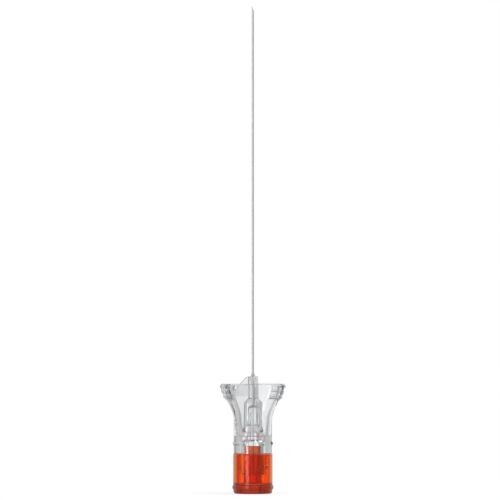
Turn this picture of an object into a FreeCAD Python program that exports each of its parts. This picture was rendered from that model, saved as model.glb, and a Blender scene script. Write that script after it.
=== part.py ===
"""Spinal needle: a bevelled steel cannula bonded in a clear winged hub, with its stylet in place.

Millimetres, +Z up. The needle stands on the flat end of its stylet handle. The origin is the centre of
that end, +Z runs along the axis towards the point, and X runs from wing to wing. The bevel opens to +X,
on the side of the locating key, and the raised web of the hub is at -X.

Five pieces:
  cannula         hollow steel shaft with a lancet-ground bevel
  hub             one clear moulding: connector, body, flared finger rest and nose
  adhesive        the bond that fills the nose's well and climbs the shaft a little
  stylet_wire     solid wire that fills the cannula, ground to the same bevel
  stylet_handle   clear orange cup whose centre pin fills the hub's socket and holds the wire
"""
import FreeCAD, Part
import math
import os
from FreeCAD import Vector

# Cannula, 25 gauge
cannula_od = 0.53
cannula_id = 0.34
needle_length = 88.0            # from the nose of the hub to the point
cannula_hold = 6.6              # length inside the hub
bevel_angle = 18.3              # main bevel, to the axis
lancet_angle = 29.4             # the two side grinds at the point, to the axis
lancet_turn = 35.0              # how far each side grind is turned round the axis

# Stylet wire
wire_clearance = 0.02           # all round, in the cannula
wire_setback = 0.03             # the wire's face below the bevel
wire_embed = 6.6                # length moulded into the handle's pin

# Stylet handle
handle_height = 9.6
handle_od = 9.4
handle_wall = 0.72
handle_floor = 2.2
handle_bead_height = 0.9        # the grip bead round the foot
handle_bead_bottom = 1.1
handle_bead_proud = 0.2
foot_taper = 0.15               # the wall draws in by this below the bead
foot_round = 0.5
rim_round = 0.15
pin_foot_round = 0.5
pin_end_chamfer = 0.22
pin_clearance = 0.05            # all round, in the hub's socket

# Hub, body and connector
hub_length = 18.2               # from the shoulder that meets the handle to the nose
seat_gap = 0.04                 # between the handle's rim and the shoulder
body_od = 9.1
connector_length = 5.15         # below the shoulder, inside the handle
connector_od = 6.5
socket_mouth = 4.3              # diameter at the mouth of the 6 % cone
socket_taper = 0.06             # on diameter
socket_depth = 7.9
socket_end_length = 0.5
lower_bore = 2.4                # diameter above the socket
lower_bore_length = 3.7
chamber_bore = 1.9              # the viewing chamber
chamber_step = 0.6
pin_engagement = 6.9            # how far the handle's pin reaches into the socket

# Hub, flare and cavity
flare_start = 7.75              # above the shoulder
rim_below_nose = 1.75
rim_width = 14.2                # along X, without the grip pads
rim_depth = 10.8                # along Y
rim_squareness = 3.6            # exponent of the rim's outline, where 2 is an ellipse
body_wall = 1.0
rim_wall = 1.2
rim_edge_round = 0.3
cavity_floor = 4.0              # above the shoulder
cavity_floor_radius = 3.25
cavity_foot_round = 0.45
flare_sections = 10
rim_round_steps = 2
outline_points = 20
corner_chords = 2               # chords that stand for each turned rounding

# Hub, column, nose and web
column_od = 4.4
column_foot_od = 5.6
column_foot_height = 2.2
nose_od = 2.44
column_top_below_nose = 5.0
shoulder_cone_height = 1.1
nose_chamfer = 0.12
web_thickness = 0.9
web_nose_reach = 0.3            # the web starts this far outside the nose
web_slope = 45.0
well_diameter = 1.3
well_depth = 1.1
lead_in_height = 0.75

# Hub, grips, lugs and key
pad_thickness = 0.35
pad_height = 3.8                # down from the rim
pad_span = 6.4                  # along Y
ridge_count = 3
ridge_pitch = 1.25
ridge_height = 0.6
ridge_crest = 0.2
ridge_proud = 0.15
first_ridge_below_rim = 0.75
body_lug_height = 1.0
body_lug_centre = 2.3           # above the shoulder
body_lug_proud = 0.3
body_lug_chamfer = 0.15
body_lug_span = 5.6             # along Y
lock_lug_od = 7.78
lock_lug_height = 0.9
lock_lug_lead = 5.0             # rise in a full turn
lock_lug_length = 4.6
lock_lug_above_mouth = 0.25
key_width = 1.0
key_height = 0.6
key_depth = 0.6                 # radial
key_inset = 0.08                # in from the body's side
key_clearance = 0.06

# Adhesive
bead_foot_diameter = 1.15
bead_height = 0.95
bead_top_thickness = 0.03

# Places that follow from the sizes above
handle_r = handle_od / 2
cup_r = handle_r - handle_wall
cannula_r = cannula_od / 2
lumen_r = cannula_id / 2
wire_r = lumen_r - wire_clearance
shoulder_z = handle_height + seat_gap
mouth_z = shoulder_z - connector_length
socket_end_z = mouth_z + socket_depth
bore_step_z = socket_end_z + socket_end_length + lower_bore_length
nose_z = shoulder_z + hub_length
rim_z = nose_z - rim_below_nose
flare_z = shoulder_z + flare_start
floor_z = shoulder_z + cavity_floor
column_top_z = nose_z - column_top_below_nose
cannula_end_z = nose_z - cannula_hold
point_z = nose_z + needle_length
pin_top_z = mouth_z + pin_engagement
body_r = body_od / 2
OVERSHOOT = 1.0                 # how far a cutting tool runs past the face that it opens


def tan(degrees):
    return math.tan(math.radians(degrees))


def rounded_corner(before, corner, after, rounding):
    """Points that replace a corner: the rounding's arc, stepped off in chords."""
    back, ahead = before - corner, after - corner
    half = back.getAngle(ahead) / 2
    cut = min(rounding / math.tan(half), 0.49 * back.Length, 0.49 * ahead.Length)
    radius = cut * math.tan(half)
    back.normalize()
    ahead.normalize()
    centre = corner + (back + ahead).normalize() * (radius / math.sin(half))
    start = corner + back * cut - centre
    end = corner + ahead * cut - centre
    turn = start.getAngle(end)
    points = []
    for i in range(corner_chords + 1):
        share = i / corner_chords
        ray = start * (math.sin((1 - share) * turn) / math.sin(turn))
        ray += end * (math.sin(share * turn) / math.sin(turn))
        points.append(centre + ray)
    return points


def rounded_outline(corners):
    """Closed wire in the XZ plane through (r, z, rounding) corners."""
    points = [Vector(r, 0, z) for r, z, _ in corners]
    outline = []
    for i, (_, _, rounding) in enumerate(corners):
        if rounding > 0:
            following = points[(i + 1) % len(points)]
            outline += rounded_corner(points[i - 1], points[i], following, rounding)
        else:
            outline.append(points[i])
    return Part.makePolygon(outline + outline[:1])


def turned(corners):
    """Solid of revolution about Z from a rounded outline of (r, z, rounding) corners."""
    face = Part.Face(rounded_outline(corners))
    return face.revolve(Vector(0, 0, 0), Vector(0, 0, 1), 360)


def cylinder(radius, z_low, z_high):
    return Part.makeCylinder(radius, z_high - z_low, Vector(0, 0, z_low))


def socket_radius(z):
    """Radius of the hub's tapered socket at height z."""
    return socket_mouth / 2 - (z - mouth_z) * socket_taper / 2


# Cannula and wire

def bevel_tool(turn, angle, setback):
    """Block that grinds the point away above a plane through the point, opening to +X turned by turn."""
    reach = 12 * cannula_od
    block = Part.makeBox(2 * reach, 2 * reach, reach, Vector(-cannula_r - reach, -reach, 0))
    block.rotate(Vector(-cannula_r, 0, 0), Vector(0, 1, 0), 90 - angle)
    block.rotate(Vector(-cannula_r, 0, 0), Vector(0, 0, 1), turn)
    block.translate(Vector(0, 0, point_z - setback))
    return block


def grind_point(blank, setback):
    """The main bevel and the two lancet grinds, which all meet at the point."""
    ground = blank.cut(bevel_tool(0, bevel_angle, setback))
    for side in (-1, 1):
        ground = ground.cut(bevel_tool(side * lancet_turn, lancet_angle, setback))
    return ground


def make_cannula():
    shaft = cylinder(cannula_r, cannula_end_z, point_z + OVERSHOOT)
    shaft = shaft.cut(cylinder(lumen_r, cannula_end_z - OVERSHOOT, point_z + 2 * OVERSHOOT))
    return grind_point(shaft, 0)


def make_stylet_wire():
    blank = cylinder(wire_r, pin_top_z - wire_embed, point_z + OVERSHOOT)
    return grind_point(blank, wire_setback)


# Stylet handle

def make_stylet_handle():
    bead_top = handle_bead_bottom + handle_bead_height
    bead_r = handle_r + handle_bead_proud
    pin_foot_r = socket_radius(handle_floor) - pin_clearance
    pin_top_r = socket_radius(pin_top_z) - pin_clearance
    bead_round = 0.45 * handle_bead_height
    cup = turned([
        (0, 0, 0),
        (handle_r - foot_taper, 0, foot_round),
        (handle_r, handle_bead_bottom, 0),
        (bead_r, handle_bead_bottom + 0.1 * handle_bead_height, bead_round),
        (bead_r, bead_top - 0.1 * handle_bead_height, bead_round),
        (handle_r, bead_top, 0),
        (handle_r, handle_height, rim_round),
        (cup_r, handle_height, rim_round),
        (cup_r, handle_floor, pin_foot_round),
        (pin_foot_r, handle_floor, pin_foot_round),
        (pin_top_r, pin_top_z - pin_end_chamfer, 0),
        (pin_top_r - pin_end_chamfer, pin_top_z, 0),
        (0, pin_top_z, 0),
    ])
    notch_width = key_width + 2 * key_clearance
    notch_height = key_height - seat_gap + key_clearance
    notch = Part.makeBox(
        handle_wall + 2 * OVERSHOOT, notch_width, notch_height + OVERSHOOT,
        Vector(cup_r - OVERSHOOT, -notch_width / 2, handle_height - notch_height))
    wire_hole = cylinder(wire_r, pin_top_z - wire_embed, pin_top_z + OVERSHOOT)
    return cup.cut(notch).cut(wire_hole)


# Hub

def flare_share(z):
    """Smooth step from 0 at the start of the flare to 1 at the rim."""
    t = min(max((z - flare_z) / (rim_z - flare_z), 0), 1)
    return t * t * (3 - 2 * t)


def outline_at(z, inset, widen=0.0):
    """Closed smooth outline at height z: round at the body, squarer at the rim, inset by a wall."""
    share = flare_share(z)
    a = body_r + (rim_width / 2 - body_r) * share - inset + widen
    b = body_r + (rim_depth / 2 - body_r) * share - inset
    if share == 0 and widen == 0:
        return Part.Wire(Part.makeCircle(a, Vector(0, 0, z)))
    power = 2 / (2 + (rim_squareness - 2) * share)
    points = []
    for i in range(outline_points):
        angle = 2 * math.pi * i / outline_points
        c, s = math.cos(angle), math.sin(angle)
        points.append(Vector(math.copysign(a * abs(c) ** power, c),
                             math.copysign(b * abs(s) ** power, s), z))
    curve = Part.BSplineCurve()
    curve.interpolate(Points=points, PeriodicFlag=True)
    return Part.Wire(curve.toShape())


def flare_heights():
    """Section heights from the start of the flare to where the rim starts to round over."""
    step = (rim_z - rim_edge_round - flare_z) / (flare_sections - 1)
    return [flare_z + i * step for i in range(flare_sections)]


def rim_rounding():
    """Height and inset of each step of the rounded rim edge, from the lowest up."""
    angles = [math.radians(90 * i / rim_round_steps) for i in range(rim_round_steps + 1)]
    return [(rim_z - rim_edge_round * (1 - math.sin(t)), rim_edge_round * (1 - math.cos(t)))
            for t in angles]


def flared_outside():
    """Outside of the body and flare, with its top edge rounded over."""
    rings = [outline_at(z, 0) for z in flare_heights()]
    rings += [outline_at(z, inset) for z, inset in rim_rounding()[1:]]
    return cylinder(body_r, shoulder_z, flare_z).fuse(Part.makeLoft(rings, True, True))


def cavity_foot():
    """Height and radius of each step of the cavity's rounded foot, from the floor up."""
    steps = []
    for i in range(rim_round_steps + 1):
        t = math.radians(90 * i / rim_round_steps)
        steps.append((floor_z + cavity_foot_round * (1 - math.cos(t)),
                      cavity_floor_radius - cavity_foot_round * (1 - math.sin(t))))
    return steps


def flared_inside():
    """The cavity between the wall and the column, open at the rounded rim."""
    def wall_at(z):
        return body_wall + (rim_wall - body_wall) * flare_share(z)
    inner_r = body_r - body_wall
    foot = turned([(0, floor_z, 0)] + [(r, z, 0) for z, r in cavity_foot()]
                  + [(inner_r, flare_z, 0), (0, flare_z, 0)])
    rings = [outline_at(z, wall_at(z)) for z in flare_heights()]
    rings += [outline_at(z, wall_at(z) - inset) for z, inset in rim_rounding()[1:]]
    rings.append(outline_at(rim_z + OVERSHOOT, rim_wall - rim_edge_round))
    return foot.fuse(Part.makeLoft(rings, True, True))


def column():
    """Centre column from the cavity's floor to the nose."""
    column_r, nose_r, foot_r = column_od / 2, nose_od / 2, column_foot_od / 2
    return turned([
        (0, floor_z - body_wall, 0),
        (foot_r, floor_z - body_wall, 0),
        (foot_r, floor_z, 0),
        (column_r, floor_z + column_foot_height, 1.5),
        (column_r, column_top_z - shoulder_cone_height, 0.4),
        (nose_r, column_top_z, 0.4),
        (nose_r, nose_z - nose_chamfer, 0),
        (nose_r - nose_chamfer, nose_z, 0),
        (0, nose_z, 0),
    ])


def raised_web():
    """Web at -X from column to wall, whose sloping top climbs to the nose and marks the hub's turn."""
    start = nose_od / 2 + web_nose_reach
    reach = rim_width / 2
    drop = (reach - start) * tan(web_slope)
    corners = [Vector(0, 0, floor_z - 0.2), Vector(0, 0, nose_z - nose_chamfer),
               Vector(-start, 0, nose_z - nose_chamfer),
               Vector(-reach, 0, nose_z - nose_chamfer - drop), Vector(-reach, 0, floor_z - 0.2)]
    face = Part.Face(Part.makePolygon(corners + corners[:1]))
    plate = face.extrude(Vector(0, web_thickness, 0))
    plate.translate(Vector(0, -web_thickness / 2, 0))
    return plate


def pad_profile():
    """Height, inset and proudness of the pads' steps, from the lowest up."""
    steps = [(rim_z - pad_height, pad_thickness)]
    for i in reversed(range(ridge_count)):
        centre = rim_z - first_ridge_below_rim - i * ridge_pitch
        crest = pad_thickness + ridge_proud
        steps += [(centre - ridge_height / 2, pad_thickness), (centre - ridge_crest / 2, crest),
                  (centre + ridge_crest / 2, crest), (centre + ridge_height / 2, pad_thickness)]
    return [(z, 0, proud) for z, proud in steps] + [
        (z, inset, pad_thickness) for z, inset in rim_rounding()]


def grip_pads():
    """The two thickened wing ends with their grip ridges, as a bar right through the hub."""
    rings = [outline_at(z, inset, proud) for z, inset, proud in pad_profile()]
    band = Part.makeLoft(rings, True, True)
    span = Part.makeBox(2 * rim_width, pad_span, 2 * pad_height,
                        Vector(-rim_width, -pad_span / 2, rim_z - 1.5 * pad_height))
    return band.common(span)


def body_lugs():
    """A short bar on each side of the body, above the shoulder, as a bar right through the hub."""
    centre = shoulder_z + body_lug_centre
    low, high = centre - body_lug_height / 2, centre + body_lug_height / 2
    edge = body_lug_proud - body_lug_chamfer
    steps = [(low, edge), (low + body_lug_chamfer, body_lug_proud),
             (high - body_lug_chamfer, body_lug_proud), (high, edge)]
    band = Part.makeLoft([outline_at(z, 0, proud) for z, proud in steps], True, True)
    slab = Part.makeBox(2 * body_od, body_lug_span, 4 * body_lug_height,
                        Vector(-body_od, -body_lug_span / 2, centre - 2 * body_lug_height))
    return band.common(slab)


def connector():
    """Tube below the shoulder, with a pair of lock lugs on the lead of the lock thread."""
    outer = connector_od / 2
    tube = turned([
        (0, mouth_z, 0),
        (outer, mouth_z, 0.25),
        (outer, shoulder_z + 0.5, 0),
        (0, shoulder_z + 0.5, 0),
    ])
    lead_angle = math.degrees(math.atan(lock_lug_lead / (math.pi * connector_od)))
    rise = lock_lug_length / 2 * math.sin(math.radians(lead_angle))
    centre = mouth_z + lock_lug_above_mouth + rise + lock_lug_height / 2
    limits = cylinder(lock_lug_od / 2, centre - lock_lug_height, centre + lock_lug_height)
    for side in (0, 180):
        lug = Part.makeBox(lock_lug_od / 2, lock_lug_length, lock_lug_height,
                           Vector(0, -lock_lug_length / 2, -lock_lug_height / 2))
        lug.rotate(Vector(0, 0, 0), Vector(1, 0, 0), lead_angle)
        lug.rotate(Vector(0, 0, 0), Vector(0, 0, 1), 90 + side)
        lug.translate(Vector(0, 0, centre))
        tube = tube.fuse(lug.common(limits))
    return tube


def locating_key():
    outer = body_r - key_inset
    tab = Part.makeBox(key_depth, key_width, key_height + 0.3,
                       Vector(outer - key_depth, -key_width / 2, shoulder_z - key_height))
    return tab.common(cylinder(outer, shoulder_z - key_height, shoulder_z + 0.3))


def passage():
    """The way through the hub: socket, lower bore, chamber, lead-in, cannula hole and well."""
    mouth_r = socket_radius(mouth_z)
    flared_mouth_r = mouth_r + OVERSHOOT * socket_taper / 2
    chamber_r, lower_r = chamber_bore / 2, lower_bore / 2
    well_r = well_diameter / 2
    return turned([
        (0, mouth_z - OVERSHOOT, 0),
        (flared_mouth_r, mouth_z - OVERSHOOT, 0),
        (socket_radius(socket_end_z), socket_end_z, 0),
        (lower_r, socket_end_z + socket_end_length, 0),
        (lower_r, bore_step_z - chamber_step, 0),
        (chamber_r, bore_step_z, 0),
        (chamber_r, cannula_end_z - lead_in_height, 0),
        (cannula_r, cannula_end_z, 0),
        (cannula_r, nose_z - well_depth, 0),
        (well_r, nose_z - well_depth, 0),
        (well_r, nose_z + OVERSHOOT, 0),
        (0, nose_z + OVERSHOOT, 0),
    ])


def make_hub():
    outside = flared_outside()
    nose_room = cylinder(rim_width / 4, rim_z - OVERSHOOT, nose_z)
    web = raised_web().common(outside.fuse(nose_room))
    body = outside.fuse(grip_pads()).fuse(body_lugs())
    body = body.cut(flared_inside())
    for piece in (column(), web, connector(), locating_key()):
        body = body.fuse(piece)
    return body.cut(passage())


# Adhesive

def make_adhesive():
    well_r = well_diameter / 2
    foot_r = bead_foot_diameter / 2
    top_r = cannula_r + bead_top_thickness
    shoulder_r = cannula_r + 0.5 * (foot_r - cannula_r)
    return turned([
        (cannula_r, nose_z - well_depth, 0),
        (well_r, nose_z - well_depth, 0),
        (well_r, nose_z, 0),
        (foot_r, nose_z, 0),
        (shoulder_r, nose_z + 0.35 * bead_height, 0.4),
        (top_r, nose_z + bead_height, 0),
        (cannula_r, nose_z + bead_height, 0),
    ])


def main():
    os.makedirs("parts", exist_ok=True)
    pieces = {
        "cannula": make_cannula(),
        "hub": make_hub(),
        "adhesive": make_adhesive(),
        "stylet_wire": make_stylet_wire(),
        "stylet_handle": make_stylet_handle(),
    }
    for name, shape in pieces.items():
        shape.exportStep(f"parts/{name}.step")
        print(name, len(shape.Solids), "solids, volume", round(shape.Volume, 3), shape.isValid())


if __name__ == "__main__":
    main()
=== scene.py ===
import math
import bmesh
import bpy
import numpy as np
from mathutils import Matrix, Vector


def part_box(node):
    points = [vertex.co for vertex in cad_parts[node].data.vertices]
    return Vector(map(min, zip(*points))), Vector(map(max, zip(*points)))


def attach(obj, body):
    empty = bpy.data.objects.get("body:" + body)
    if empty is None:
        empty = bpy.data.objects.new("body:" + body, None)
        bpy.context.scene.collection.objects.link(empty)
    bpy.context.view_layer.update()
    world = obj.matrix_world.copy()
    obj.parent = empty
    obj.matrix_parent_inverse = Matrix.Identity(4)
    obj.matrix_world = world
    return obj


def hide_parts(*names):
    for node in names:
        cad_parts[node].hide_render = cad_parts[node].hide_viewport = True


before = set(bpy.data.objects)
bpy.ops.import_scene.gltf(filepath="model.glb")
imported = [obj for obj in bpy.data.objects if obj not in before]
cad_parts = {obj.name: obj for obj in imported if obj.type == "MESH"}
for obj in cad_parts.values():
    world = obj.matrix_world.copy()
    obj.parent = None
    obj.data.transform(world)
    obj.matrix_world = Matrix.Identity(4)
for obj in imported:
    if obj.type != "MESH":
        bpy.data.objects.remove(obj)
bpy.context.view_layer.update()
MM = 0.001


# Heights along the needle in millimetres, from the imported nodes

def lowest_and_highest(node_name):
    low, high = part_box(node_name)
    return low[2] / MM, high[2] / MM


mouth_z, nose_z = lowest_and_highest("hub")
cannula_end_z, point_z = lowest_and_highest("cannula")
wire_end_z = lowest_and_highest("stylet_wire")[0]
pin_top_z = lowest_and_highest("stylet_handle")[1]
shoulder_z = mouth_z + 5.15             # where the connector meets the body
handle_height = shoulder_z - 0.04
floor_z = shoulder_z + 4.0              # floor of the body's open cavity
flare_z = shoulder_z + 7.75
rim_z = nose_z - 1.75
column_top_z = nose_z - 5.0
well_z = nose_z - 1.1                   # floor of the adhesive's well
socket_end_z = mouth_z + 7.9
lower_bore_z = socket_end_z + 0.5
bore_step_z = lower_bore_z + 3.7

# Cannula and wire in millimetres, with the angles of their ground ends in degrees
cannula_r = 0.265
lumen_r = 0.17
wire_r = 0.15
wire_setback = 0.03                     # how far the wire's ground face lies behind the tube's
bevel_angle = 18.3
lancet_angle = 29.4
lancet_turn = 35.0
cannula_press = 0.012                   # how far the tube sinks into the plastic that holds it

# Stylet handle
handle_r = 4.7
cup_r = 3.98
handle_floor = 2.2
foot_r = 4.55
foot_round = 0.5
bead_low = 1.1
bead_high = 2.0
bead_r = 4.9
bead_slope = 0.09                       # height that the bead takes to stand fully proud
bead_round = 0.4
cup_edge_round = 0.32
pin_clearance = 0.05
notch_half = 0.56
notch_depth = 0.62

# Passage through the hub
socket_mouth_r = 2.15
socket_taper = 0.03
lower_bore_r = 1.2
chamber_r = 0.95
well_r = 0.65

# Outside and cavity of the hub
connector_r = 3.25
body_r = 4.55
body_wall = 1.0
rim_width = 14.2
rim_depth = 10.8
rim_squareness = 3.6
rim_wall = 1.2
rim_round = 0.55
cavity_foot_r = 3.25
column_r = 2.2
column_foot_r = 2.8
nose_r = 1.22
web_half = 0.45
key_half = 0.5

# Grip pads, the ridges across them, and the lugs lower down
pad_thickness = 0.35
pad_bottom = rim_z - 3.8
pad_half = 3.2
pad_fade_low = 0.2                      # how far below its lower edge a pad starts to rise
pad_fade = 0.35
ridge_tops = [rim_z - 0.75 - i * 1.25 for i in range(3)]
ridge_proud = 0.15
ridge_half = 0.32
ridge_slope = 0.22
lug_low = shoulder_z + 1.8
lug_high = shoulder_z + 2.8
lug_proud = 0.3
lug_half = 2.8
lug_margin = 0.04                       # how far beyond its two heights a lug starts to rise
lug_slope = 0.54
lug_end_fade = 0.9

# Where adhesive wets the plastic: inside this radius, between these heights
bond_r = well_r + 0.01
bond_low = well_z - 0.01
bond_high = nose_z - 0.045


def socket_radius(z):
    return socket_mouth_r - (z - mouth_z) * socket_taper


# Mesh helpers

SHARP_ANGLE = 35.0          # degrees from which an edge stays sharp
GROUND_SHARP_ANGLE = 25.0   # the same on the ground ends
BEVEL_ANGLE = 40.0          # degrees from which an edge is rounded over
BEVEL_SEGMENTS = 3
LARGEST_CUT = 0.49          # share of a side that the arc at one of its ends may take
ON_AXIS = 1e-9


def smooth_step(value):
    t = np.clip(value, 0, 1)
    return t * t * (3 - 2 * t)


def new_object(name, data):
    """Object in the scene, made of a mesh, a lamp or a camera."""
    obj = bpy.data.objects.new(name, data)
    bpy.context.scene.collection.objects.link(obj)
    return obj


def mesh_object(name, points, faces, materials, face_slots=None, sharp_angle=SHARP_ANGLE):
    """Object from points in millimetres, with edges steeper than the angle kept sharp."""
    mesh = bpy.data.meshes.new(name)
    mesh.from_pydata([Vector(p) * MM for p in points], [], faces)
    for material in materials:
        mesh.materials.append(material)
    if face_slots is not None:
        mesh.polygons.foreach_set("material_index", face_slots)
    outward = bmesh.new()
    outward.from_mesh(mesh)
    bmesh.ops.recalc_face_normals(outward, faces=outward.faces)
    outward.to_mesh(mesh)
    outward.free()
    mesh.shade_smooth()
    mesh.set_sharp_from_angle(angle=math.radians(sharp_angle))
    return new_object(name, mesh)


def even_normals(obj):
    """Large faces lead the shading, so small roundings don't bend it."""
    modifier = obj.modifiers.new("even normals", "WEIGHTED_NORMAL")
    modifier.keep_sharp = True
    modifier.weight = 50


def rounded_path(corners, arc_steps):
    """Points along (r, z, rounding) corners, with a true arc at each rounded one."""
    path = []
    for i, (r, z, rounding) in enumerate(corners):
        here = np.array([r, z])
        if rounding <= 0 or i == 0 or i == len(corners) - 1:
            path.append(here)
            continue
        back = np.array(corners[i - 1][:2]) - here
        ahead = np.array(corners[i + 1][:2]) - here
        back_length, ahead_length = np.linalg.norm(back), np.linalg.norm(ahead)
        back, ahead = back / back_length, ahead / ahead_length
        half = math.acos(np.clip(back @ ahead, -1, 1)) / 2
        cut = min(rounding / math.tan(half), LARGEST_CUT * back_length, LARGEST_CUT * ahead_length)
        radius = cut * math.tan(half)
        centre = here + (back + ahead) / np.linalg.norm(back + ahead) * radius / math.sin(half)
        start, end = here + back * cut - centre, here + ahead * cut - centre
        turn = math.acos(np.clip(start @ end / radius ** 2, -1, 1))
        for k in range(arc_steps + 1):
            share = k / arc_steps
            ray = (start * math.sin((1 - share) * turn) + end * math.sin(share * turn)) / math.sin(turn)
            path.append(centre + ray)
    return path


def is_bonded(low, high):
    """Whether a wall between two (r, z) points lies where the adhesive holds the nose's well."""
    return all(r < bond_r and z < bond_high for r, z in (low, high))


def turned(name, corners, materials, columns, arc_steps, closed=False):
    """Solid turned about Z. Its path runs from axis to axis, or is closed and makes a ring."""
    path = rounded_path(corners + (corners[:1] if closed else []), arc_steps)
    if closed:
        path = path[:-1]
    angles = np.arange(columns) * 2 * math.pi / columns
    points, rings = [], []
    for r, z in path:
        if r < ON_AXIS:
            rings.append([len(points)])
            points.append((0, 0, z))
        else:
            rings.append(list(range(len(points), len(points) + columns)))
            points += [(r * math.cos(t), r * math.sin(t), z) for t in angles]
    faces, slots = [], []
    ends = list(range(1, len(path))) + ([0] if closed else [])
    for i, low in enumerate(rings[:len(ends)]):
        high = rings[ends[i]]
        slots += [int(len(materials) > 1 and is_bonded(path[i], path[ends[i]]))] * columns
        for j in range(columns):
            k = (j + 1) % columns
            if len(low) == 1 and len(high) > 1:
                faces.append((low[0], high[j], high[k]))
            elif len(high) == 1 and len(low) > 1:
                faces.append((low[j], low[k], high[0]))
            elif len(low) > 1:
                faces.append((low[j], low[k], high[k], high[j]))
    return mesh_object(name, points, faces, materials, slots)


def bake(obj):
    """Makes what the modifiers give into the object's own mesh."""
    evaluated = obj.evaluated_get(bpy.context.evaluated_depsgraph_get())
    baked = bpy.data.meshes.new_from_object(evaluated)
    obj.modifiers.clear()
    old = obj.data
    obj.data = baked
    baked.name = old.name
    bpy.data.meshes.remove(old)
    baked.shade_smooth()
    baked.set_sharp_from_angle(angle=math.radians(SHARP_ANGLE))
    return obj


def combine(obj, tools, operation):
    """Joins tools into the object, or cuts them out of it, and removes them."""
    for tool in tools:
        modifier = obj.modifiers.new("tool", "BOOLEAN")
        modifier.operation = operation
        modifier.solver = "EXACT"
        modifier.object = tool
    bake(obj)
    for tool in tools:
        mesh = tool.data
        bpy.data.objects.remove(tool)
        bpy.data.meshes.remove(mesh)
    return obj


def bevelled(obj, width):
    """Rounds the object's sharper edges over."""
    modifier = obj.modifiers.new("bevel", "BEVEL")
    modifier.width = width * MM
    modifier.segments = BEVEL_SEGMENTS
    modifier.limit_method = "ANGLE"
    modifier.angle_limit = math.radians(BEVEL_ANGLE)
    return bake(obj)


def prism(name, outline, thickness, bevel):
    """Plate that lies in the XZ plane, centred on it, with its edges rounded over."""
    count = len(outline)
    points = [(x, side * thickness / 2, z) for side in (-1, 1) for x, z in outline]
    faces = [tuple(range(count)), tuple(range(2 * count - 1, count - 1, -1))]
    faces += [(i, (i + 1) % count, count + (i + 1) % count, count + i) for i in range(count)]
    return bevelled(mesh_object(name, points, faces, []), bevel)


def box_tool(low, high, bevel):
    """Box between two corners, with its edges rounded over."""
    xs, ys, zs = zip(low, high)
    corners = [(x, y, z) for x in xs for y in ys for z in zs]
    faces = [(0, 1, 3, 2), (4, 6, 7, 5), (0, 4, 5, 1), (2, 3, 7, 6), (0, 2, 6, 4), (1, 5, 7, 3)]
    return bevelled(mesh_object("box", corners, faces, []), bevel)


# Shape of the hub

SIDE_COLUMNS = 14           # columns of the grid on each side of the pad's edge, in a quarter turn
STEP_COLUMNS = 4            # columns across the edge itself
STEP_HALF = 0.014           # half the edge's width, in radians
EDGE_SEARCH = 0.2, 1.2      # radians between which the edge is looked for
EDGE_HALVINGS = 40
EDGE_SETTLE = 0.5           # height above the lugs from which the edge turns towards the pads'
PAD_ROW_STEP = 0.055
RIM_STEPS = 6


def flare_share(z):
    """How far the outline at height z has gone from the body's to the rim's."""
    return smooth_step((z - flare_z) / (rim_z - flare_z))


def outline_radius(theta, z, inset=0.0, widen=0.0):
    """Radius of the hub's outline at each angle: round at the body, squarer at the rim."""
    share = flare_share(z)
    a = body_r + (rim_width / 2 - body_r) * share - inset + widen
    b = body_r + (rim_depth / 2 - body_r) * share - inset
    power = 2 + (rim_squareness - 2) * share
    return (np.abs(np.cos(theta) / a) ** power + np.abs(np.sin(theta) / b) ** power) ** (-1 / power)


def pad_edge_angle(z):
    """Angle of the pads' side edges at height z, where the outline is half a pad's width from Y = 0."""
    low, high = EDGE_SEARCH
    for _ in range(EDGE_HALVINGS):
        middle = (low + high) / 2
        reach = outline_radius(np.array([middle]), z, 0, pad_thickness / 2)[0] * math.sin(middle)
        low, high = (middle, high) if reach < pad_half else (low, middle)
    return low


def edge_angle(z):
    """Angle at which the grid follows the side edges of the pads, and lower down of the lugs."""
    if z >= pad_bottom:
        return pad_edge_angle(z)
    lug = math.asin(lug_half / (body_r + lug_proud / 2))
    mix = min(max((z - lug_high - EDGE_SETTLE) / (pad_bottom - lug_high - EDGE_SETTLE), 0), 1)
    return lug + (pad_edge_angle(pad_bottom) - lug) * mix


def grid_angles(z):
    """Angles of the grid's columns at height z, and how far each column is inside the pad."""
    edge = edge_angle(z)
    inner = np.linspace(0, edge - STEP_HALF, SIDE_COLUMNS)
    across = np.linspace(edge - STEP_HALF, edge + STEP_HALF, STEP_COLUMNS + 1)[1:]
    outer = np.linspace(edge + STEP_HALF, math.pi / 2, SIDE_COLUMNS + 1)[1:]
    quarter = np.concatenate([inner, across, outer])
    ease = smooth_step(np.linspace(0, 1, STEP_COLUMNS + 1)[1:])
    inside = np.concatenate([np.ones(SIDE_COLUMNS), 1 - ease, np.zeros(SIDE_COLUMNS)])
    angles = np.concatenate([quarter, math.pi - quarter[-2::-1]])
    weights = np.concatenate([inside, inside[-2::-1]])
    angles = np.concatenate([angles, math.pi + angles[1:-1]])
    return angles, np.concatenate([weights, weights[1:-1]])


def pad_height_at(z):
    """How proud the pads stand at height z, ridges included. They fade in at their lower edge."""
    base = pad_thickness * smooth_step((z - pad_bottom + pad_fade_low) / pad_fade)
    for centre in ridge_tops:
        base += ridge_proud * smooth_step((ridge_half - abs(z - centre)) / ridge_slope)
    return base


def lug_height_at(z):
    """How proud the lugs stand at height z."""
    edge = min(z - lug_low + lug_margin, lug_high + lug_margin - z)
    return lug_proud * smooth_step(edge / lug_slope)


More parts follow.
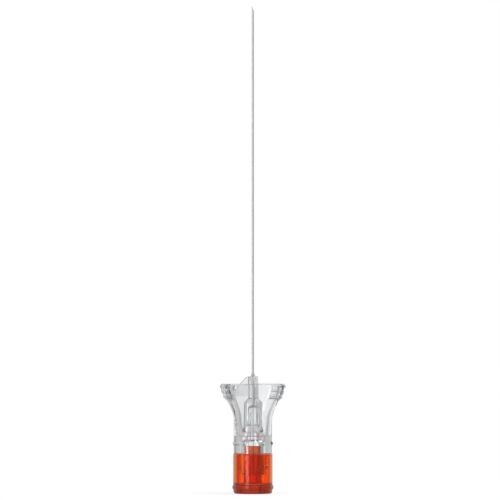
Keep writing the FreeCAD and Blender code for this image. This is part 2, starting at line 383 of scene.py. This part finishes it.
def outside_rows():
    """Rows of the outside wall from the shoulder to the rim's outer edge: height, inset."""
    rows = [(shoulder_z, 0.1), (shoulder_z + 0.012, 0.05), (shoulder_z + 0.04, 0.015)]
    lug_middle = (lug_low + lug_high) / 2
    for start, end, count in (
            (shoulder_z + 0.1, lug_low - 0.12, 4),
            (lug_low - lug_margin, lug_low + 0.24, 7),
            (lug_middle, lug_middle, 1),
            (lug_high - 0.24, lug_high + lug_margin, 7),
            (lug_high + 0.12, flare_z - 0.6, 5),
            (flare_z - 0.2, pad_bottom - 0.3, 20)):
        rows += [(z, 0.0) for z in np.linspace(start, end, count)]
    rows += [(z, 0.0) for z in np.arange(pad_bottom - 0.2, rim_z - rim_round - 0.02, PAD_ROW_STEP)]
    return rows + rim_rows()


def rim_rows():
    """Rows over the quarter round of the rim's edge: height, inset."""
    turns = [math.radians(90 * i / RIM_STEPS) for i in range(RIM_STEPS + 1)]
    return [(rim_z - rim_round * (1 - math.sin(t)), rim_round * (1 - math.cos(t))) for t in turns]


def hub_rows():
    """Every row of the hub's skin in turn, as angles, radii and height."""
    rows = []
    for z, inset in outside_rows():
        angles, inside = grid_angles(z)
        padded = outline_radius(angles, z, inset, pad_height_at(z))
        plain = outline_radius(angles, z, inset)
        half_turn = np.abs((angles + math.pi / 2) % math.pi - math.pi / 2)
        to_lug_end = np.array([lug_half - body_r * math.sin(t) for t in half_turn])
        fade = smooth_step(to_lug_end / lug_end_fade)
        radii = padded * inside + plain * (1 - inside)
        rows.append((angles, radii + lug_height_at(z) * inside * fade, z))
    for z, inset in rim_rows()[::-1]:
        angles, _ = grid_angles(z)
        rows.append((angles, outline_radius(angles, z, rim_wall - inset), z))
    for z in np.linspace(rim_z - rim_round - 0.3, flare_z, 22):
        angles, _ = grid_angles(z)
        wall = body_wall + (rim_wall - body_wall) * flare_share(z)
        rows.append((angles, outline_radius(angles, z, wall), z))
    angles, _ = grid_angles(floor_z)
    for r, z in inner_path():
        rows.append((angles, np.full(len(angles), r), z))
    return rows


def inner_path():
    """From the cavity's foot up the column, over the nose, down the passage and up the connector."""
    held_r = cannula_r - cannula_press
    cavity_and_column = [
        (body_r - body_wall, flare_z, 0),
        (cavity_foot_r, floor_z, 0.45),
        (column_foot_r + 0.06, floor_z, 0.25),
        (column_r, floor_z + 2.2, 1.5),
        (column_r, column_top_z - 1.1, 0.4),
        (nose_r, column_top_z, 0.4),
        (nose_r, nose_z, 0.1)]
    well_and_chamber = [
        (well_r, nose_z, 0.04),
        (well_r, well_z, 0.05),
        (held_r, well_z, 0),
        (held_r, cannula_end_z, 0.03),
        (chamber_r, cannula_end_z - 0.75, 0.15),
        (chamber_r, bore_step_z, 0.12)]
    bore_and_socket = [
        (lower_bore_r, bore_step_z - 0.6, 0.12),
        (lower_bore_r, lower_bore_z, 0.08),
        (socket_radius(socket_end_z), socket_end_z, 0.08),
        (socket_mouth_r, mouth_z, 0.12)]
    connector = [
        (connector_r, mouth_z, 0.22),
        (connector_r, shoulder_z, 0.12),
        (body_r - 0.15, shoulder_z, 0)]
    return rounded_path(cavity_and_column + well_and_chamber + bore_and_socket + connector, 4)[1:]


def web_outline():
    """The raised web at -X: from inside the column to the middle of the wall."""
    top = nose_z - 0.12
    foot = floor_z - 0.25
    slope_start = nose_r + 0.3          # its top is level as far as this, then slopes down at 45 degrees
    depth_in_wall = 0.55
    inside_column = column_r - 0.3
    inside_nose = nose_r - 0.27
    wall = []
    for z in np.linspace(foot, rim_z - 0.9, 24):
        middle = outline_radius(np.array([math.pi]), z, depth_in_wall)[0]
        if z < top - (middle - slope_start):
            wall.append((-middle, z))
    last = wall[-1][0]
    return [(-inside_column, foot)] + wall + [
        (last, top + slope_start + last),
        (-slope_start, top),
        (-inside_nose, top),
        (-inside_nose, column_top_z - 0.2),
        (-inside_column, column_top_z - 1.2)]


def lock_lug(side):
    """Bar on the connector that follows the lead of a lock thread. Its section is (r, z) points."""
    section = [(2.9, -0.45), (3.78, -0.45), (3.89, -0.34), (3.89, 0.34), (3.78, 0.45), (2.9, 0.45)]
    half_height = 0.45
    thread_lead = 5.0
    length = 4.6
    above_mouth = 0.25
    stations = 15
    lead = thread_lead / (2 * math.pi * connector_r)
    half_turn = length / 2 / connector_r
    centre = mouth_z + above_mouth + length / 2 * math.sin(math.atan(lead)) + half_height
    points, faces = [], []
    for turn in np.linspace(-half_turn, half_turn, stations):
        angle = turn + math.pi / 2 + side
        rise = centre + turn * connector_r * lead
        points += [(r * math.cos(angle), r * math.sin(angle), rise + z) for r, z in section]
    count = len(section)
    for i in range(stations - 1):
        for k in range(count):
            a, b = i * count + k, i * count + (k + 1) % count
            faces.append((a, b, b + count, a + count))
    faces += [tuple(range(count)), tuple(range((stations - 1) * count, stations * count))]
    return mesh_object("lug", points, faces, [])


def make_hub(materials):
    """Hub with slot 1 where the adhesive wets it, and its web, key and lock lugs joined on."""
    rows = hub_rows()
    columns = len(rows[0][0])
    points = [(r * math.cos(t), r * math.sin(t), z) for angles, radii, z in rows
              for t, r in zip(angles, radii)]
    faces, slots = [], []
    for i, (_, radii, z) in enumerate(rows):
        _, next_radii, next_z = rows[(i + 1) % len(rows)]
        bonded = is_bonded((radii[0], z), (next_radii[0], next_z)) and z > bond_low
        slots += [int(bonded)] * columns
        up = columns if i < len(rows) - 1 else -i * columns
        for j in range(columns):
            a, b = i * columns + j, i * columns + (j + 1) % columns
            faces.append((a, b, b + up, a + up))
    hub = mesh_object("clear_hub", points, faces, materials, slots)
    key_low = body_r - 0.68, -key_half, shoulder_z - 0.6
    key_high = body_r - 0.08, key_half, shoulder_z + 0.3
    key = box_tool(key_low, key_high, bevel=0.06)
    web = prism("web", web_outline(), thickness=2 * web_half, bevel=0.1)
    return combine(hub, [web, key, lock_lug(0), lock_lug(math.pi)], "UNION")


# Needle and stylet

def ground_height(x, y, setback):
    """Height of the ground end over (x, y): the main bevel and the two lancet grinds."""
    drops = [(x + cannula_r) / math.tan(math.radians(bevel_angle))]
    for side in (-1, 1):
        t = math.radians(side * lancet_turn)
        across = (x + cannula_r) * math.cos(t) + y * math.sin(t)
        drops.append(across / math.tan(math.radians(lancet_angle)))
    return point_z - setback - max(drops)


def ground_rod(name, outer, inner, bottom, setback, materials):
    """Rod or tube with a ground end. Slot 0 is the drawn surface, 1 the ground face, 2 the bore."""
    columns, straight_rows, cut_rows = 96, 6, 10
    below_bevel = point_z - 1.7         # the grinding reaches down nearly this far
    clear_of_cut = 0.004                # least distance of a level ring below the cut
    edge_drop, edge_width = 0.006, 0.003
    centre_r = 0.012                    # of the wire's ground face, closed by one small face
    angles = np.arange(columns) * 2 * math.pi / columns

    def ring(radius, height):
        return [(radius * math.cos(t), radius * math.sin(t),
                 height(radius * math.cos(t), radius * math.sin(t))) for t in angles]

    def cut(x, y):
        return ground_height(x, y, setback)

    def below_edge(x, y):
        return cut(x, y) - edge_drop

    def level(z):
        return lambda x, y: min(z, cut(x, y) - clear_of_cut)

    rings = [ring(outer, level(z)) for z in np.linspace(bottom, below_bevel, straight_rows)]
    slots = [0] * (straight_rows - 1)
    rings.append(ring(outer, below_edge))
    slots.append(0)
    for radius in np.linspace(outer - edge_width, inner + (edge_width if inner else centre_r), cut_rows):
        rings.append(ring(radius, cut))
        slots.append(1)
    if inner:
        rings.append(ring(inner, below_edge))
        slots.append(1)
        rings.append(ring(inner, level(below_bevel - 1.0)))
        rings.append(ring(inner, level(bottom)))
        slots += [2, 2]
    points = [p for r in rings for p in r]
    faces, face_slots = [], []
    for i, slot in enumerate(slots):
        for j in range(columns):
            a, b = i * columns + j, i * columns + (j + 1) % columns
            faces.append((a, b, b + columns, a + columns))
            face_slots.append(slot)
    last = (len(rings) - 1) * columns
    if inner:
        for j in range(columns):
            k = (j + 1) % columns
            faces.append((last + j, last + k, k, j))
            face_slots.append(0)
    else:
        faces += [tuple(range(last, last + columns)), tuple(range(columns))]
        face_slots += [1, 0]
    return mesh_object(name, points, faces, materials, face_slots, GROUND_SHARP_ANGLE)


def make_adhesive(materials):
    """The bond in the nose's well, with the fillet that climbs the shaft."""
    inside_r = cannula_r - 0.003
    outside_r = well_r - 0.003
    foot_z = well_z + 0.003
    top_z = nose_z + 0.95
    corners = [
        (inside_r, foot_z, 0),
        (outside_r, foot_z, 0.04),
        (outside_r, nose_z - 0.05, 0),
        (outside_r, nose_z + 0.004, 0.01),
        (0.575, nose_z + 0.012, 0.05),
        (0.46, nose_z + 0.25, 0.22),
        (0.36, nose_z + 0.62, 0.6),
        (0.288, top_z, 0.02),
        (inside_r, top_z, 0)]
    return turned("adhesive_bead", corners, materials, columns=64, arc_steps=5, closed=True)


def make_handle(materials):
    """Cup with its grip bead, its centre pin and the notch for the hub's key."""
    pin_foot_r = socket_radius(handle_floor) - pin_clearance
    pin_top_r = socket_radius(pin_top_z) - pin_clearance
    corners = [
        (0, 0, 0),
        (foot_r, 0, foot_round),
        (handle_r, bead_low, 0.05),
        (bead_r, bead_low + bead_slope, bead_round),
        (bead_r, bead_high - bead_slope, bead_round),
        (handle_r, bead_high, 0.05),
        (handle_r, handle_height, cup_edge_round),
        (cup_r, handle_height, cup_edge_round),
        (cup_r, handle_floor, 0.5),
        (pin_foot_r, handle_floor, 0.5),
        (pin_top_r, pin_top_z, 0.2),
        (0, pin_top_z, 0)]
    handle = turned("orange_handle", corners, materials, columns=144, arc_steps=7)
    notch_low = cup_r - 1, -notch_half, handle_height - notch_depth
    notch_high = handle_r + 1, notch_half, handle_height + 1
    notch = box_tool(notch_low, notch_high, bevel=0.08)
    return combine(handle, [notch], "DIFFERENCE")


# Materials

# Numbers of the Mix node's two inputs and its output, for each kind of data
MIX_SOCKETS = {"FLOAT": (2, 3, 0), "RGBA": (6, 7, 2)}
WHITE = 1, 1, 1, 1

# How fine each pattern is along X, Y and Z, for each metre
POLISH_PATCHES = 900, 900, 900
FLOW_WAVES = 420, 420, 130
BUBBLES = 9000, 9000, 9000


def fill(tree, made, values):
    """Sets a node's inputs, by name or number, to values or links them to other nodes' outputs."""
    for key, value in dict(values).items():
        if isinstance(value, bpy.types.NodeSocket):
            tree.links.new(value, made.inputs[key])
        else:
            made.inputs[key].default_value = value


def node(tree, kind, values=(), **settings):
    """New shader node. Values go to its inputs, settings to the node itself."""
    made = tree.nodes.new("ShaderNode" + kind)
    for key, value in settings.items():
        setattr(made, key, value)
    fill(tree, made, values)
    return made


def maths(tree, operation, *values):
    return node(tree, "Math", enumerate(values), operation=operation).outputs[0]


def mixed(tree, kind, factor, low, high):
    """Mix of two values or colours: the first at factor 0, the second at 1."""
    first, second, result = MIX_SOCKETS[kind]
    return node(tree, "Mix", {0: factor, first: low, second: high}, data_type=kind).outputs[result]


def spread(tree, value, start, end, low, high, kind="LINEAR"):
    """A value that runs from start to end, turned into one that runs from low to high."""
    values = {"Value": value, "From Min": start, "From Max": end, "To Min": low, "To Max": high}
    return node(tree, "MapRange", values, interpolation_type=kind).outputs["Result"]


def place(tree, scale):
    """Object coordinates, stretched."""
    coordinates = node(tree, "TexCoord").outputs["Object"]
    return node(tree, "Mapping", {"Scale": scale, "Vector": coordinates}).outputs["Vector"]


def noise(tree, scale, detail, roughness=0.5):
    values = {"Vector": place(tree, scale), "Scale": 1.0, "Detail": detail, "Roughness": roughness}
    return node(tree, "TexNoise", values).outputs["Fac"]


def bump(tree, height, distance):
    """Normals of a surface that stands this far proud, in metres, where the height is 1."""
    return node(tree, "Bump", {"Height": height, "Distance": distance, "Strength": 1.0}).outputs["Normal"]


def new_material(name, constants):
    """Material with a Principled shader that has these constants: its node tree, shader and output."""
    material = bpy.data.materials.new(name)
    material.use_nodes = True
    tree = material.node_tree
    tree.nodes.clear()
    shader = node(tree, "BsdfPrincipled", constants)
    output = node(tree, "OutputMaterial", {"Surface": shader.outputs[0]})
    return material, tree, shader, output


def web_mask(tree):
    """1 on the raised web beside the nose, 0 elsewhere. Its bounds are in metres, with soft edges."""
    coordinates = node(tree, "TexCoord").outputs["Object"]
    x, y, z = node(tree, "SeparateXYZ", {0: coordinates}).outputs
    between_sides = spread(tree, maths(tree, "ABSOLUTE", y), 0.00046, 0.0005, 1.0, 0.0)
    outside_nose = spread(tree, x, -0.0013, -0.0012, 1.0, 0.0)
    above_column = spread(tree, z, 0.0232, 0.0234, 0.0, 1.0)
    return maths(tree, "MULTIPLY", maths(tree, "MULTIPLY", between_sides, outside_nose), above_column)


def moulded_plastic(name, colour, absorb, density, ior, polish, wave, web_frost=0.0):
    """See-through moulding: faint flow waves, a polish that varies a little, and a duller web."""
    material, tree, shader, output = new_material(
        name, {"Base Color": (*colour, 1), "Transmission Weight": 1.0, "IOR": ior})
    rough = spread(tree, noise(tree, POLISH_PATCHES, detail=2.0), 0.3, 0.7, *polish)
    if web_frost:
        rough = maths(tree, "MULTIPLY_ADD", web_mask(tree), web_frost, rough)
    waves = bump(tree, noise(tree, FLOW_WAVES, detail=3.0, roughness=0.55), wave)
    fill(tree, shader, {"Roughness": rough, "Normal": waves})
    volume = node(tree, "VolumeAbsorption", {"Color": (*absorb, 1), "Density": density})
    fill(tree, output, {"Volume": volume.outputs[0]})
    return material


def lined_steel(name, dark, light, polish, lines, depth):
    """Steel with fine lines in its colour, polish and surface."""
    material, tree, shader, _ = new_material(name, {"Metallic": 1.0})
    line = noise(tree, lines, detail=4.0, roughness=0.6)
    fill(tree, shader, {
        "Base Color": mixed(tree, "RGBA", line, (*dark, 1), (*light, 1)),
        "Roughness": spread(tree, line, 0.0, 1.0, *polish),
        "Normal": bump(tree, line, depth)})
    return material


def cured_adhesive(name):
    """Cured bond: a little cloudy, with tiny bubbles."""
    material, tree, shader, _ = new_material(
        name, {"Base Color": (0.86, 0.87, 0.88, 1), "Transmission Weight": 0.92, "IOR": 1.5})
    cells = node(tree, "TexVoronoi", {"Vector": place(tree, BUBBLES), "Scale": 1.0})
    bubbles = cells.outputs["Distance"]
    fill(tree, shader, {
        "Roughness": spread(tree, bubbles, 0.0, 1.0, 0.22, 0.08),
        "Normal": bump(tree, bubbles, 0.000006)})
    return material


def bonded_face(name):
    """Where adhesive wets the plastic, light passes without bending, so the face doesn't show."""
    return new_material(name, {"Alpha": 0.0})[0]


clear = moulded_plastic(
    "clear plastic", colour=(0.95, 0.955, 0.96), absorb=(0.4, 0.42, 0.44), density=60.0, ior=1.49,
    polish=(0.03, 0.08), wave=0.000014, web_frost=0.3)
orange = moulded_plastic(
    "clear orange plastic", colour=(1.0, 0.3, 0.055), absorb=(0.84, 0.5, 0.0), density=520.0, ior=1.5,
    polish=(0.03, 0.08), wave=0.00001)
steel = lined_steel(
    "drawn steel", dark=(0.8, 0.8, 0.81), light=(0.88, 0.88, 0.89), polish=(0.3, 0.42),
    lines=(26000, 26000, 160), depth=0.000003)
ground = lined_steel(
    "ground steel", dark=(0.7, 0.7, 0.7), light=(0.84, 0.84, 0.84), polish=(0.1, 0.22),
    lines=(900, 900, 52000), depth=0.000002)
# The bore's steel is painted near black: painted shade inside the narrow tube, not the steel's own colour.
bore = lined_steel(
    "bore steel in painted shade", dark=(0.1, 0.1, 0.11), light=(0.18, 0.18, 0.19), polish=(0.4, 0.5),
    lines=(20000, 20000, 2000), depth=0.000002)
bond = cured_adhesive("cured adhesive")
wetted = bonded_face("bonded face")


# Pieces

hub = make_hub([clear, wetted])
even_normals(hub)
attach(hub, "needle")
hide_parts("hub")

tube = ground_rod("needle_tube", cannula_r, lumen_r, cannula_end_z, 0.0, [steel, ground, bore])
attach(tube, "needle")
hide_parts("cannula")

bead = make_adhesive([bond, wetted])
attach(bead, "needle")
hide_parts("adhesive")

wire = ground_rod("wire_of_stylet", wire_r, 0.0, wire_end_z, wire_setback, [steel, ground])
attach(wire, "stylet")
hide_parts("stylet_wire")

handle = make_handle([orange])
even_normals(handle)
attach(handle, "stylet")
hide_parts("stylet_handle")


# Floor, light and camera

CAMERA_TURN = -16.0         # degrees round the object, nearer to the raised web's side

# The studio as the plastic passes it on, and as plastic and steel mirror it: its level overhead, below,
# and between the panels. A panel is its centre in degrees to the right of straight behind, its half
# width, its soft edge and its level.
SEEN_THROUGH = {
    "overhead": 0.4, "below": 0.8, "between": 0.38,
    "panels": [(6, 16, 4, 1.07), (37, 6, 8, 0.75), (-21, 2, 3, 0.8), (-48, 17, 6, 0.7), (180, 45, 20, 0.8)]}
MIRRORED = {
    "overhead": 1.1, "below": 0.5, "between": 0.27,
    "panels": [(0, 60, 15, 0.8), (-147, 9, 3, 2.2)]}
PANELS_TO_OVERHEAD = 0.04, 0.4      # upward part of the direction over which one turns into the other
BELOW_TO_PANELS = -0.45, -0.15
DIFFUSE_LEVEL = 0.62                # of the world on dull surfaces

FLOOR_REACH = 0.3
FLOOR_DROP = 0.00003                # metres below the part's foot
FLOOR_GREY = 0.45
FLOOR_GLOW = 0.6                    # added for the camera, so that the lit floor is white to it

LAMP_AIM = Vector((0, 0, 0.03))
PIXELS = 500
METRES_PER_PIXEL = 0.2375 * MM      # in the photograph, at the needle
FOOT_ROW = 493.6                    # where the needle's foot and axis are in it
AXIS_COLUMN = 252.85
LENS = 520.0
SENSOR = 36.0


def make_floor():
    """Pale floor, white to the camera but for its shadow. Plastic and steel show the studio instead."""
    mesh = bpy.data.meshes.new("floor")
    corners = [(x * FLOOR_REACH, y * FLOOR_REACH, -FLOOR_DROP)
               for x, y in ((-1, -1), (1, -1), (1, 1), (-1, 1))]
    mesh.from_pydata(corners, [], [(0, 1, 2, 3)])
    material = bpy.data.materials.new("floor")
    material.use_nodes = True
    tree = material.node_tree
    tree.nodes.clear()
    to_camera = node(tree, "LightPath").outputs["Is Camera Ray"]
    diffuse = node(tree, "BsdfDiffuse", {"Color": (FLOOR_GREY, FLOOR_GREY, FLOOR_GREY, 1)})
    strength = maths(tree, "MULTIPLY", to_camera, FLOOR_GLOW)
    glow = node(tree, "Emission", {"Color": WHITE, "Strength": strength})
    lit = node(tree, "AddShader", {0: diffuse.outputs[0], 1: glow.outputs[0]})
    node(tree, "OutputMaterial", {"Surface": lit.outputs[0]})
    mesh.materials.append(material)
    floor = new_object("floor", mesh)
    floor.visible_transmission = floor.visible_glossy = False


def panels(tree, around, between, rows):
    """Level all round the horizon: soft-edged panels, and the level between them."""
    total = between
    for centre, half, edge, level in rows:
        turn = maths(tree, "SUBTRACT", around, math.radians(90 + CAMERA_TURN - centre))
        wave = maths(tree, "COSINE", turn)
        start, end = math.cos(math.radians(half + edge)), math.cos(math.radians(half))
        panel = spread(tree, wave, start, end, 0.0, level - between, "SMOOTHSTEP")
        total = maths(tree, "ADD", total, panel)
    return total


def background(tree, level):
    return node(tree, "Background", {"Color": WHITE, "Strength": level}).outputs[0]


def make_world():
    """White to the camera. Plastic and steel see soft panels all round, with dimmer gaps between."""
    world = bpy.data.worlds.new("studio")
    bpy.context.scene.world = world
    world.use_nodes = True
    tree = world.node_tree
    tree.nodes.clear()
    path = node(tree, "LightPath").outputs
    x, y, z = node(tree, "SeparateXYZ", {0: node(tree, "TexCoord").outputs["Generated"]}).outputs
    around = maths(tree, "ARCTAN2", y, x)
    overhead = spread(tree, z, *PANELS_TO_OVERHEAD, 0.0, 1.0, "SMOOTHSTEP")
    below = spread(tree, z, *BELOW_TO_PANELS, 1.0, 0.0, "SMOOTHSTEP")
    levels = []
    for studio in (MIRRORED, SEEN_THROUGH):
        level = panels(tree, around, studio["between"], studio["panels"])
        level = mixed(tree, "FLOAT", overhead, level, studio["overhead"])
        levels.append(mixed(tree, "FLOAT", below, level, studio["below"]))
    shown = mixed(tree, "FLOAT", path["Is Transmission Ray"], *levels)
    bent_or_mirrored = maths(tree, "MAXIMUM", path["Is Glossy Ray"], path["Is Transmission Ray"])
    light = node(tree, "MixShader", {
        0: bent_or_mirrored, 1: background(tree, DIFFUSE_LEVEL), 2: background(tree, shown)})
    surface = node(tree, "MixShader", {
        0: path["Is Camera Ray"], 1: light.outputs[0], 2: background(tree, 1.0)})
    node(tree, "OutputWorld", {"Surface": surface.outputs[0]})


def make_lamp(name, azimuth, elevation, distance, size, power, glints=False):
    """Soft panel that faces the hub. One with glints shows in plastic and doesn't light dull surfaces."""
    data = bpy.data.lights.new(name, "AREA")
    data.shape = "RECTANGLE"
    data.size, data.size_y = size
    data.energy = power
    lamp = new_object(name, data)
    a, e = math.radians(azimuth), math.radians(elevation)
    away = Vector((math.sin(a) * math.cos(e), -math.cos(a) * math.cos(e), math.sin(e)))
    lamp.location = LAMP_AIM + away * distance
    lamp.rotation_euler = (-away).to_track_quat("-Z", "Y").to_euler()
    lamp.visible_camera = lamp.visible_glossy = False
    lamp.visible_transmission = glints
    lamp.visible_diffuse = not glints


def make_camera():
    """Long lens, level, from where a pixel covers as much of the needle as one of the photograph's."""
    data = bpy.data.cameras.new("camera")
    data.lens = LENS
    data.sensor_width = SENSOR
    data.clip_start = 0.01
    data.clip_end = 20.0
    camera = new_object("camera", data)
    a = math.radians(CAMERA_TURN)
    back = Vector((math.sin(a), -math.cos(a), 0))
    right = Vector((math.cos(a), math.sin(a), 0))
    above_foot = (FOOT_ROW - PIXELS / 2) * METRES_PER_PIXEL
    aside = (AXIS_COLUMN - PIXELS / 2) * METRES_PER_PIXEL
    distance = LENS / SENSOR * METRES_PER_PIXEL * PIXELS
    camera.location = Vector((0, 0, above_foot)) - right * aside + back * distance
    camera.rotation_euler = (-back).to_track_quat("-Z", "Y").to_euler()
    bpy.context.scene.camera = camera


make_floor()
make_world()
make_lamp("key", azimuth=-86, elevation=20, distance=0.3, size=(0.12, 0.3), power=1.1, glints=True)
make_lamp("fill", azimuth=48, elevation=35, distance=1.6, size=(0.9, 0.9), power=5.0)
make_lamp("top", azimuth=0, elevation=80, distance=1.6, size=(1.0, 1.0), power=7.0)
make_camera()
scene = bpy.context.scene
scene.view_settings.view_transform = "Standard"
scene.cycles.max_bounces = 32
scene.cycles.transmission_bounces = 32
scene.cycles.glossy_bounces = 16
scene.cycles.transparent_max_bounces = 16
